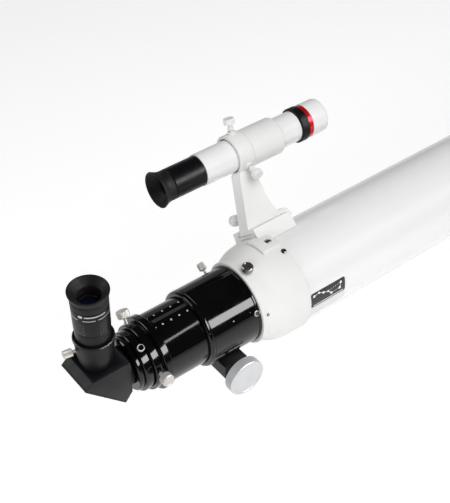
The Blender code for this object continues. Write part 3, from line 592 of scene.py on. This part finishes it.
# ---- thumbscrews --------------------------------------------------------------------------------
def thumbscrew(name, where, tip, seat, r, h, shaft, mat, body, node, slot, teeth, depth):
    """Knurled head of radius r and height h on a shaft, along local X from its tip."""
    top = seat + h
    pts = [(tip, 0), (tip, shaft - 0.3), (tip + 0.4, shaft), (seat, shaft), (seat + 0.5, r - 0.9),
           (seat + 1.2, r), (top - 0.9, r), (top, r - 0.9), (top, r - 2.0), (top - 0.3, r - 2.4),
           (top - 0.3, 0)]
    return lathe(name, pts, where, mat, body, node, slot, n=teeth * 8, soft=0.35, teeth=teeth,
                 depth=depth, band=(seat + 1.0, top - 0.7, r - 0.8))


# the rotation lock's darker, browner nickel is a painted dark reflection
thumbscrew("rotation_lock_skin", screw_at("rotation_lock_turn"), 39.9, 49.9, 6.3, 6.6, 2.2,
           "nickel_polished", "rotation_lock", "rotation_lock_screw", "nickel", teeth=48,
           depth=0.10)
thumbscrew("drawtube_lock_skin", screw_at("drawtube_lock_turn"), 38.3, 47.8, 4.3, 9.0, 1.5,
           "nickel", "drawtube_lock", "drawtube_lock_screw", "nickel", teeth=18, depth=0.5)
for tag in ("top", "side"):
    thumbscrew("clamp_%s_skin" % tag, screw_at("clamp_%s_turn" % tag), 26.2, 43.4, 6.8, 8.6, 2.0,
               "nickel", "clamp_" + tag, "clamp_screw_" + tag, "nickel", teeth=30, depth=0.28)
j = JOINTS["diagonal_screw_turn"]
thumbscrew("diagonal_screw_skin", place((DIAG_X, AXIS.y, j["pos_m"][2]), j["axis"]), 16.4, 22.6,
           4.2, 10.4, 1.5, "nickel", "diagonal_lock", "diagonal_screw", "nickel", teeth=18,
           depth=0.55)

# ---- star diagonal ------------------------------------------------------------------------------
DIAG_S = (DIAG_X - ZERO_X) / MM
WIDE, TOP_Z, FRONT_X = 22.8, 27.3, -148.2            # half width, top and front of the body
low, high = Vector((-157.2, -26.4)), Vector((-200.4, 19.7))
slope = (high - low).normalized()
inward = Vector((slope.y, -slope.x))
rear_chamfer, front_low = Vector((-191.1, TOP_Z)), Vector((FRONT_X, -14.9))


def at_depth(corner, other, depth):
    """Where the edge from a corner towards another lies this deep below the slope."""
    point = corner + (other - corner) * (depth / (other - corner).dot(inward))
    return (point.x, point.y)


def on_slope(along, depth):
    p = low + slope * along + inward * depth
    return (p.x, p.y)


prism = solid([(FRONT_X, TOP_Z), (FRONT_X, front_low.y), at_depth(low, front_low, 2.0),
               at_depth(high, rear_chamfer, 2.0), (rear_chamfer.x, TOP_Z)], WIDE)
mid = (Vector((DIAG_S, 0)) - low).dot(slope)
room = solid([on_slope(mid - 21, -1), on_slope(mid + 21, -1), on_slope(mid + 21, 7.4),
              on_slope(mid - 21, 7.4)], 16.0)
PASSAGE_R = 14.5
prism = carved(prism, ("DIFFERENCE", cyl(PASSAGE_R, -174, -140, 96)),
               ("DIFFERENCE", cyl(PASSAGE_R, -2, 32, 96, (DIAG_S, 0, 0), (0, 0, 1))),
               ("DIFFERENCE", room), edge=0.45)
made("diagonal_body_skin", prism, TUBE_AT, "anthracite", "diagonal", "diagonal_body")
cover = carved(solid([(low.x, low.y), (high.x, high.y), at_depth(high, rear_chamfer, 1.8),
                      at_depth(low, front_low, 1.8)], WIDE), edge=0.4)
made("diagonal_cover_skin", cover, TUBE_AT, "anthracite", "diagonal", "diagonal_cover")
for k, (along, y) in enumerate(((7, -17), (7, 17), (56, -17), (56, 17))):
    p = low + slope * along
    screw_head("cover_screw_%d" % k, place(station(p.x, y, p.y), (-inward.x, 0, -inward.y)), -0.6,
               1.9, 0.9, "dark_steel", "diagonal", tip=-3)
mirror = carved(solid([on_slope(mid - 20.5, 2.1), on_slope(mid + 20.5, 2.1),
                       on_slope(mid + 20.5, 6.7), on_slope(mid - 20.5, 6.7)], 15.6), edge=0.3)
made("diagonal_mirror_skin", mirror, TUBE_AT, "mirror", "diagonal", "diagonal_mirror")
lathe("diagonal_nose_skin", [
    (-112.0, 15.1), (-112.8, BARREL_R), (-142.4, BARREL_R), (-142.4, 20.6), (-143.4, 21.4),
    (-146.6, 21.4), (-147.9, 20.2), (-147.9, 14.2), (-153.5, 14.2), (-153.5, 12.4), (-112.0, 13.6)],
      TUBE_AT, "black_satin", "diagonal", "diagonal_nose", "black_satin", n=128, soft=0.5)
# the top rim chamfer takes the lighter metal, a painted highlight line
lathe("diagonal_barrel_skin", [
    (65.0, BARREL_R + 0.3), (65.0, 20.1), (64.4, 20.85), (62.0, 20.85), (60.9, 19.7), (50.0, 19.3),
    (40.0, 18.3), (33.0, 16.9), (27.6, 15.9), (27.6, 14.2), (22.0, 14.2), (22.0, 12.4),
    (36.5, 12.8), (37.0, BARREL_R + 0.3)], UP_AT, ["anthracite", "rim_highlight"], "diagonal",
      "diagonal_barrel", "black_satin", n=128, soft=0.45,
      split=lambda s, r: int(s > 64.45 and r > 20.0))

# ---- eyepiece -----------------------------------------------------------------------------------
lathe("eyepiece_barrel_skin", [
    (38.0, 15.4), (38.6, BARREL_R), (65.6, BARREL_R), (65.6, 15.2), (72.0, 15.2), (72.0, 13.6),
    (38.0, 13.6)], UP_AT, "nickel", "eyepiece", "eyepiece_barrel", "nickel", n=128, soft=0.3)
lathe("eyepiece_body_skin", [
    (65.9, 17.2), (66.6, 17.8), (78.6, 18.1), (78.9, 17.7), (79.4, 17.7), (79.7, 18.3),
    (98.0, 18.5), (108.0, 18.6), (108.0, 16.0), (110.5, 16.0), (110.5, 11.9), (106.9, 11.7),
    (106.2, 9.6), (104.2, 9.6), (104.2, 12.6), (72.4, 12.6), (72.4, 15.5), (65.9, 15.5)], UP_AT,
      "black_satin", "eyepiece", "eyepiece_body", "black_satin", n=144, soft=0.3)
PATCHES, ROWS, COLUMNS = 5, 8, 6                     # the grip's raised diamonds
ROW_STEP, COLUMN_STEP, RAISED_R, SKIN_R, SUNK_R = 2.0, 4.7, 18.78, 18.3, 18.0
grip = bmesh.new()
for g, row, col in ((g, r, c) for g in range(PATCHES) for r in range(ROWS) for c in range(COLUMNS)):
    z = 81.2 + row * ROW_STEP
    a = math.radians(97 + 360 / PATCHES * g + (col - (COLUMNS - 1) / 2) * COLUMN_STEP)
    hub = grip.verts.new((z, -RAISED_R * math.sin(a), RAISED_R * math.cos(a)))
    under = grip.verts.new((z, -SUNK_R * math.sin(a), SUNK_R * math.cos(a)))
    rim = []
    for dz, da in ((0.5, 0), (0, 1.5), (-0.5, 0), (0, -1.5)):
        b = a + math.radians(da)
        rim.append(grip.verts.new((z + dz, -SKIN_R * math.sin(b), SKIN_R * math.cos(b))))
    for c in range(4):
        grip.faces.new([hub, rim[c], rim[(c + 1) % 4]])
        grip.faces.new([under, rim[(c + 1) % 4], rim[c]])
made("eyepiece_grip_dots", grip, UP_AT, "grip_grey", "eyepiece", sharp=60)
band = bmesh.new()
BARS = ((104.9, 106.3, 41, 108, 0.4), (104.0, 107.2, 22, 36, 1.5), (100.4, 101.2, -14, 20, 0.3),
        (100.4, 101.2, 35, 74, 0.3), (100.4, 101.2, 82, 140, 0.3), (100.4, 101.2, 200, 300, 0.3))
for z0, z1, t0, t1, corner in BARS:                      # plain bars: no lettering
    patch(z0, z1, t0, t1, 18.58, 0.05, corner, bm=band)
made("eyepiece_dial_marks", band, UP_AT, "print_dull", "eyepiece")
lathe("eyepiece_lens_glass", [(97.0, 0), (97.0, 12.3), (103.9, 12.3), (104.0, 9.6), (104.5, 7.6),
                              (104.9, 5.7), (105.2, 3.8), (105.4, 1.9), (105.5, 0)], UP_AT,
      "eye_lens", "eyepiece", "eyepiece_lens", "lens_glass", n=128, soft=0.4)
lathe("eyepiece_eyecup_skin", [
    (108.3, 18.6), (116.2, 18.7), (116.5, 18.2), (117.1, 18.2), (117.5, 18.9), (119.4, 19.5),
    (121.6, 20.2), (124.0, 20.65), (124.9, 20.2), (124.4, 19.0), (118.4, 13.2), (117.2, 12.2),
    (110.8, 12.0), (110.8, 16.3), (108.3, 16.3)], UP_AT, "rubber", "eyepiece", "eyepiece_eyecup",
      "rubber", n=144, soft=0.7)

# ---- finder scope -------------------------------------------------------------------------------
lathe("finder_tube_skin", [
    (26.4, 18.4), (131.0, 18.4), (133.0, 17.9), (158.0, 17.9), (158.0, 16.9), (184.0, 16.9),
    (184.0, 15.4), (26.4, 15.4)], FIN_AT, ["white_gloss", "matt_black"], "finder", "finder_tube",
      "gloss_white", n=144, soft=0.35, split=lambda s, r: int(r < 15.6))
lathe("finder_eyepiece_skin", [
    (-12.6, 16.6), (-12.0, 17.2), (25.7, 17.2), (26.2, 16.8), (26.2, 15.1), (46.0, 15.1),
    (46.0, 13.4), (-6.0, 11.6), (-6.0, 7.6), (-9.4, 7.6), (-10.4, 8.4), (-12.6, 8.6)], FIN_AT,
      "black_satin", "finder", "finder_eyepiece", "black_satin", n=144, soft=0.35)
lathe("finder_eye_lens_glass", [(-5.7, 0), (-5.5, 3.0), (-5.2, 6.0), (-4.6, 11.2), (2.0, 11.4),
                                (2.4, 6.0), (2.6, 0)], FIN_AT, "eye_lens", "finder",
      "finder_eye_lens", "lens_glass", n=96, soft=0.3)
lathe("finder_eyecup_skin", [
    (-12.9, 17.15), (-17.6, 17.05), (-22.0, 17.9), (-27.8, 20.5), (-28.6, 20.2), (-28.0, 19.2),
    (-21.0, 14.2), (-18.2, 11.4), (-16.6, 10.4), (-12.9, 10.2)], FIN_AT, "rubber", "finder",
      "finder_eyecup", "rubber", n=144, soft=0.8)
lathe("finder_lock_ring_skin", [
    (158.4, 17.2), (158.4, 19.7), (159.0, 20.3), (167.8, 20.3), (168.4, 19.7), (168.4, 17.2)],
      FIN_AT, "black_satin", "finder_lock", "finder_lock_ring", "black_satin", n=480, soft=0.3,
      teeth=60, depth=0.16, band=(159.2, 167.6, 20.0))
lathe("finder_red_ring_skin", [(168.8, 17.2), (168.8, 19.3), (173.8, 19.3), (173.8, 17.2)], FIN_AT,
      "red_anodised", "finder_front", "finder_red_ring", "red_anodised", n=144, soft=0.35)
lathe("finder_cell_skin", [
    (174.1, 17.2), (174.1, 19.5), (174.6, 19.9), (193.2, 19.9), (195.4, 19.3), (196.2, 17.8),
    (196.2, 16.4), (192.6, 14.2), (192.2, 15.6), (186.6, 15.6), (186.6, 17.2)], FIN_AT,
      ["white_gloss", "matt_black"], "finder_front", "finder_cell", "gloss_white", n=144, soft=0.7,
      split=lambda s, r: int(r < 16.0 and s < 196))
lathe("finder_objective_glass", [
    (186.9, 0), (186.9, 15.2), (190.6, 15.2), (191.2, 11.5), (191.6, 7.5), (191.8, 3.8),
    (191.9, 0)], FIN_AT, "lens", "finder_front", "finder_objective", "lens_glass", n=96, soft=0.3)

# bracket and shoe: local Z runs from the tube's axis to the finder
DIST = math.hypot(FINDER.y - AXIS.y, FINDER.z - AXIS.z) / MM
shoe = solid([(-26.8, 45), (26.8, 45), (23.4, 64.7), (11.2, 64.7), (15.8, 59.4), (-15.8, 59.4),
              (-11.2, 64.7), (-23.4, 64.7)], 24.9, "YZ", 70.0)
skirt = spun([(34, 56.5), (58, 56.5), (58, 58.6), (56, 59.6), (36, 59.6), (34, 58.6)], 160,
             soft=0.5)
wedge = solid([(-39, 30), (-20, 44), (-20, 62), (-46, 50)], 16, "YZ", 46)
skirt = carved(skirt, ("INTERSECT", wedge), edge=0)
shoe_screw_away = Matrix.Rotation(ROLL, 3, "X") @ radial(-5.8)
shoe = carved(shoe, ("DIFFERENCE", cyl(56.5, 20, 60.6, 160)),
              ("DIFFERENCE", cyl(54.3, 20, 120, 160)), ("UNION", skirt),
              ("DIFFERENCE", cyl(4.0, 58.2, 74, 40, (49, 0, 0), shoe_screw_away)),
              edge=0.7, angle=30)
made("finder_shoe_skin", shoe, ROLL_AT, "white_satin", "tube", "finder_shoe")

curve = [(85.6 + 4.5 * (i / 12) ** 2, 93.8 - 22.4 * i / 12) for i in range(13)]
web = solid([(46.6, 64.4), (47.1, 66.9), (66.0, 125.0), (85.6, 125.5), (85.6, 101.1)] + curve +
            [(92.4, 69.4), (101.0, 69.0), (103.0, 67.2), (103.0, 64.4)], 9.7)
foot = solid([(-15.0, 59.8), (15.0, 59.8), (10.6, 64.6), (10.6, 66.9), (-10.6, 66.9),
              (-10.6, 64.6)], 28.4, "YZ", 74.8)
sleeve = moved(spun([(67.6, 0), (67.6, 22.0), (68.4, 22.8), (86.0, 22.8), (87.6, 21.4),
                     (129.4, 21.4), (130.6, 20.2), (130.6, 0)], 144, soft=0.8),
               Matrix.Translation((0, 0, DIST)))
ways = {"top": -20 + math.degrees(ROLL), "near": 100 + math.degrees(ROLL)}   # aiming screws
spring = -135 + math.degrees(ROLL)
SCREW_AT = (56, 0, 77.3)                             # the bracket's thumbscrew
hub = (78.0, 0, DIST)
steps = [("UNION", foot), ("UNION", sleeve)]
steps += [("UNION", cyl(4.6, 10, 25.0, 48, hub, radial(t))) for t in ways.values()]
steps += [("UNION", cyl(5.2, 10, 34.0, 48, hub, radial(spring))),
          ("DIFFERENCE", cyl(19.7, 60, 140, 144, (0, 0, DIST))),
          ("DIFFERENCE", cyl(2.0, -6, 12, 32, SCREW_AT, (0, 1, 0)))]
steps += [("DIFFERENCE", cyl(2.3, 16, 28, 32, hub, radial(t))) for t in ways.values()]
steps += [("DIFFERENCE", cyl(3.0, 16, 36, 32, hub, radial(spring)))]
bracket = moved(carved(web, *steps, edge=0.7, angle=30), TUBE_AT.inverted() @ ROLL_AT)
made("finder_bracket_skin", bracket, TUBE_AT, "white_satin", "bracket", "finder_bracket")
lathe("finder_plunger_skin", [
    (18.7, 0), (18.7, 2.4), (20.0, 2.7), (34.6, 2.7), (34.6, 4.6), (37.0, 4.6), (37.6, 4.0),
    (37.6, 0)], place(station(78) + Vector((0, FINDER.y - AXIS.y, FINDER.z - AXIS.z)),
                      Matrix.Rotation(-ROLL, 3, "X") @ radial(spring)),
      "nickel", "bracket", "finder_plunger", "nickel", n=64, soft=0.3)
thumbscrew("bracket_screw_skin",
           place(ROLL_AT @ (Vector(SCREW_AT) * MM), JOINTS["bracket_screw_turn"]["axis"]),
           -5.6, 21.6, 6.4, 8.6, 1.6, "white_satin", "bracket_lock", "bracket_thumbscrew",
           "screw_white", teeth=22, depth=0.4)
for tag in ways:
    lathe("finder_screw_%s_skin" % tag, [
        (18.7, 0), (18.7, 1.7), (19.2, 2.0), (26.5, 2.0), (27.5, 3.4), (29.5, 3.4), (30.5, 2.6),
        (32.5, 2.8), (34.0, 5.9), (34.6, 6.3), (39.6, 6.3), (40.3, 5.6), (40.3, 4.4), (40.0, 4.0),
        (40.0, 0)], screw_at("finder_screw_%s_turn" % tag, FINDER), "white_satin",
          "finder_aim_" + tag, "finder_screw_" + tag, "screw_white", n=176, soft=0.4, teeth=22,
          depth=0.4, band=(34.4, 39.8, 5.9))

# ---- rings and dovetail bar ---------------------------------------------------------------------
PIN_Y, BOLT_Y, BOLT_Z = 66.0, -69.0, -5.6            # hinge pin and bolt, from the tube's axis
BASE_Z, BOLT_TEETH = -AXIS.z / MM, 26
BAR = [(-22.0, 0.6), (-21.4, 0.0), (21.4, 0.0), (22.0, 0.6), (18.6, 14.4), (18.0, 15.0),
       (-18.0, 15.0), (-18.6, 14.4)]
RINGS = {"rear": 425.0, "front": 575.0}              # stations of the rings
bar = moved(solid(BAR, 105.0, "YZ", 500.0), Matrix.Translation((0, 0, BASE_Z)))
cuts = []
for s in RINGS.values():
    cuts += [("DIFFERENCE", cyl(5.6, -1, 9, 48, (s, 0, BASE_Z), (0, 0, 1))),
             ("DIFFERENCE", cyl(3.3, 8, 17, 48, (s, 0, BASE_Z), (0, 0, 1)))]
made("dovetail_bar_skin", carved(bar, *cuts, edge=0.6), TUBE_AT, "black_satin", "mount",
     "dovetail_bar")


def half_ring(s, upper):
    """Half ring at station s with a bolt ear on the near side and hinge lugs on the far side."""
    sign = 1 if upper else -1
    turns = [math.radians(0.55 + 178.9 * i / 72) for i in range(73)]
    outer, inner = 61.0, 54.6
    ring = solid([(outer * math.cos(t), sign * outer * math.sin(t)) for t in turns] +
                 [(inner * math.cos(t), sign * inner * math.sin(t)) for t in turns[::-1]],
                 13, "YZ", s)
    z0, z1 = sorted((sign * 0.6, sign * 10.6))
    todo = [("UNION", solid([(-76, z0), (-57.6, z0), (-57.6, z1), (-76, z1)], 9, "YZ", s))]
    web = [(57.6, z0), (PIN_Y, z0), (PIN_Y, sign * 5.0), (57.6, sign * 8.0)]
    for a, b in (((-4.6, 4.6),) if upper else ((-13.0, -5.0), (5.0, 13.0))):
        todo += [("UNION", solid(web, (b - a) / 2, "YZ", s + (a + b) / 2)),
                 ("UNION", cyl(5.4, a, b, 48, (s, PIN_Y, 0)))]
    for a, b in (((-13.4, -4.9), (4.9, 13.4)) if upper else ((-4.9, 4.9),)):
        todo.append(("DIFFERENCE", cyl(5.9, a, b, 48, (s, PIN_Y, 0))))
    todo += [("DIFFERENCE", cyl(2.3, -16, 16, 32, (s, PIN_Y, 0))),
             ("DIFFERENCE", solid([(-80, -12), (-64.5, -12), (-64.5, 12), (-80, 12)],
                                  4.3, "YZ", s))]
    if not upper:
        foot_z = 15.3 + BASE_Z
        block = carved(solid([(-19, foot_z), (19, foot_z), (23, -57), (-23, -57)], 13, "YZ", s),
                       ("DIFFERENCE", cyl(56.6, s - 20, s + 20, 144)), edge=0)
        todo += [("UNION", block),
                 ("DIFFERENCE", cyl(2.8, -12, 12, 32, (s, BOLT_Y, BOLT_Z))),
                 ("DIFFERENCE", cyl(3.3, 10, 27, 32, (s, 0, BASE_Z), (0, 0, 1)))]
    return carved(ring, *todo, edge=0.8, angle=30)


for tag, s in RINGS.items():
    made("ring_lower_%s_skin" % tag, half_ring(s, False), TUBE_AT, "white_satin", "mount",
         "ring_lower_" + tag)
    made("ring_upper_%s_skin" % tag, half_ring(s, True), TUBE_AT, "white_satin", "ring_top_" + tag,
         "ring_upper_" + tag)
    under = place((station(s).x, 0, 0), (0, 0, 1))
    head = spun([(2.7, 0), (2.7, 4.8), (3.1, 5.2), (8.7, 5.2), (8.7, 3.0), (24.0, 3.0), (25.0, 2.2),
                 (25.0, 0)], 64, soft=0.3)
    socket = spun([(0, 0), (0, 2.6), (6, 2.6), (6, 0)], 6, soft=0)
    made("bar_screw_%s_skin" % tag, carved(head, ("DIFFERENCE", socket), edge=0), under, "steel",
         "mount", "bar_screw_" + tag)
    lathe("ring_pin_%s_skin" % tag, [
        (-13.5, 0), (-13.5, 1.7), (-13.2, 2.0), (13.3, 2.0), (13.3, 3.4), (14.6, 3.0), (15.2, 1.6),
        (15.3, 0)], place(station(s, PIN_Y, 0)), "steel", "mount", "ring_pin_" + tag, "steel",
          n=48, soft=0.3)
    bolt_at = place(station(s, BOLT_Y, BOLT_Z), (0, 0, 1))
    bolt = spun([(0, 0), (0, 2.5), (2.0, 3.1), (17.8, 3.1), (17.8, 7.6), (18.8, 9.0), (31.0, 9.0),
                 (32.0, 8.0), (32.0, 6.0), (31.6, 5.6), (31.6, 0)], BOLT_TEETH * 8, soft=0.5,
                teeth=BOLT_TEETH, depth=0.6, band=(18.6, 31.2, 8.4))
    made("ring_bolt_%s_skin" % tag, bolt, bolt_at, "nickel", "bolt_" + tag, ())
    lathe("ring_trunnion_%s_skin" % tag, [(-8.7, 0), (-8.7, 2.5), (8.7, 2.5), (8.7, 0)],
          place(station(s, BOLT_Y, BOLT_Z)), "nickel", "bolt_" + tag, "ring_bolt_" + tag, "nickel",
          n=48, soft=0.4)

# ---- floor, lights, camera ----------------------------------------------------------------------
# the world's strength to surfaces, to glossy reflections and to the camera
AMBIENT, IN_GLOSS, BACKDROP = 0.24, 0.03, 0.97
FLOOR_Z = -0.42
bpy.ops.mesh.primitive_grid_add(size=24.0, x_subdivisions=2, y_subdivisions=2,
                                location=(0, 0, FLOOR_Z))
floor = bpy.context.object
floor.name = "studio_floor"
shade("studio_white", (0.93, 0.93, 0.93), 0.75, vary=0.004, scale=3, grain=((90, 0.03, 0.1),),
      emission_color=(1, 1, 1, 1), emission_strength=0.39)
floor.data.materials.append(MATS["studio_white"])

world = bpy.data.worlds.new("studio")
bpy.context.scene.world = world
world.use_nodes = True
nt = world.node_tree
back = nt.nodes["Background"]
back.inputs["Color"].default_value = (1, 1, 1, 1)
path = nt.nodes.new("ShaderNodeLightPath")
strength = None
for ray, seen in (("Is Glossy Ray", IN_GLOSS), ("Is Camera Ray", BACKDROP)):
    step = nt.nodes.new("ShaderNodeMapRange")
    nt.links.new(path.outputs[ray], step.inputs["Value"])
    step.inputs["To Min"].default_value = AMBIENT
    step.inputs["To Max"].default_value = seen
    if strength:
        nt.links.new(strength, step.inputs["To Min"])
    strength = step.outputs["Result"]
nt.links.new(strength, back.inputs["Strength"])


def softbox(name, where, aim, size, watts, glossy=True, diffuse=True):
    """Rectangular light of (wide, tall) metres, unseen by the camera."""
    data = bpy.data.lights.new(name, "AREA")
    data.shape = "RECTANGLE"
    (data.size, data.size_y), data.energy = size, watts
    o = bpy.data.objects.new(name, data)
    bpy.context.scene.collection.objects.link(o)
    o.location = where
    o.rotation_euler = (Vector(aim) - Vector(where)).to_track_quat("-Z", "Y").to_euler()
    o.visible_glossy = glossy
    o.visible_diffuse = diffuse
    o.visible_camera = False
    return o


def only(light, pieces, state):
    """The light reaches all pieces but these (EXCLUDE), or these alone (INCLUDE)."""
    group = bpy.data.collections.new(light.name + "_pieces")
    for o in pieces:
        group.objects.link(o)
    light.light_linking.receiver_collection = group
    for c in group.collection_objects:
        c.light_linking.link_state = state


STRIP_AIM, DRAW_AIM = Vector((-0.52, 0.0, 0.095)), Vector((-0.585, 0, 0.095))
LEFT_AIM, STRIP_AWAY = Vector((-0.69, 0, 0.115)), 1.6
draw_tube = [bpy.data.objects["draw_tube_skin"]]
whites = [o for o in bpy.data.objects if o.type == "MESH" and o.data.materials and
          o.data.materials[0].name in ("white_gloss", "white_satin")]
strip_at = STRIP_AIM + Vector((0.417, -0.724, 0.550)).normalized() * STRIP_AWAY
thin_at = DRAW_AIM + Vector((0.376, -0.489, 0.787)).normalized() * STRIP_AWAY
key = softbox("key_strip", strip_at, STRIP_AIM, (1.5, 0.55), watts=38, diffuse=False)
only(key, draw_tube + whites, "EXCLUDE")
soft = softbox("soft_strip", strip_at, STRIP_AIM, (1.5, 0.55), watts=1.6, diffuse=False)
only(soft, whites, "INCLUDE")
thin = softbox("thin_strip", thin_at, DRAW_AIM, (1.5, 0.15), watts=5.5, diffuse=False)
only(thin, draw_tube, "INCLUDE")
softbox("key_fill", (-0.1, -2.6, 1.7), (-0.3, 0, 0.1), (2.6, 1.8), watts=10, glossy=False)
softbox("rear_fill", (-2.9, -0.6, 0.3), (-0.6, 0, 0.1), (1.6, 1.2), watts=20, glossy=False)
softbox("top_fill", (-0.3, -1.1, 2.36), (-0.3, 0, 0), (2.6, 2.6), watts=58, glossy=False)
far = softbox("far_glow", (0.55, 2.4, 0.55), (-0.5, 0, 0.1), (3.0, 1.0), watts=3.0, diffuse=False)
only(far, whites, "EXCLUDE")
softbox("left_box", LEFT_AIM + Vector((-0.67, 0.6, 0.44)) * 2.2, LEFT_AIM, (1.3, 1.1), watts=20,
        diffuse=False)

CAMERA_AT, FOCAL_MM, SENSOR_MM = (-1.00305, -0.63676, 0.90479), 76.46, 36.0
CAMERA_TURN = ((0.79075, 0.41236, -0.45241), (-0.61213, 0.52904, -0.58772),
               (-0.00301, 0.74167, 0.67076))
cam_data = bpy.data.cameras.new("camera")
cam = bpy.data.objects.new("camera", cam_data)
bpy.context.scene.collection.objects.link(cam)
cam.matrix_world = Matrix.Translation(CAMERA_AT) @ Matrix(CAMERA_TURN).to_4x4()
cam_data.lens, cam_data.sensor_width = FOCAL_MM, SENSOR_MM
cam_data.clip_start, cam_data.clip_end = 0.02, 60.0
bpy.context.scene.camera = cam
bpy.context.scene.view_settings.view_transform = "Standard"
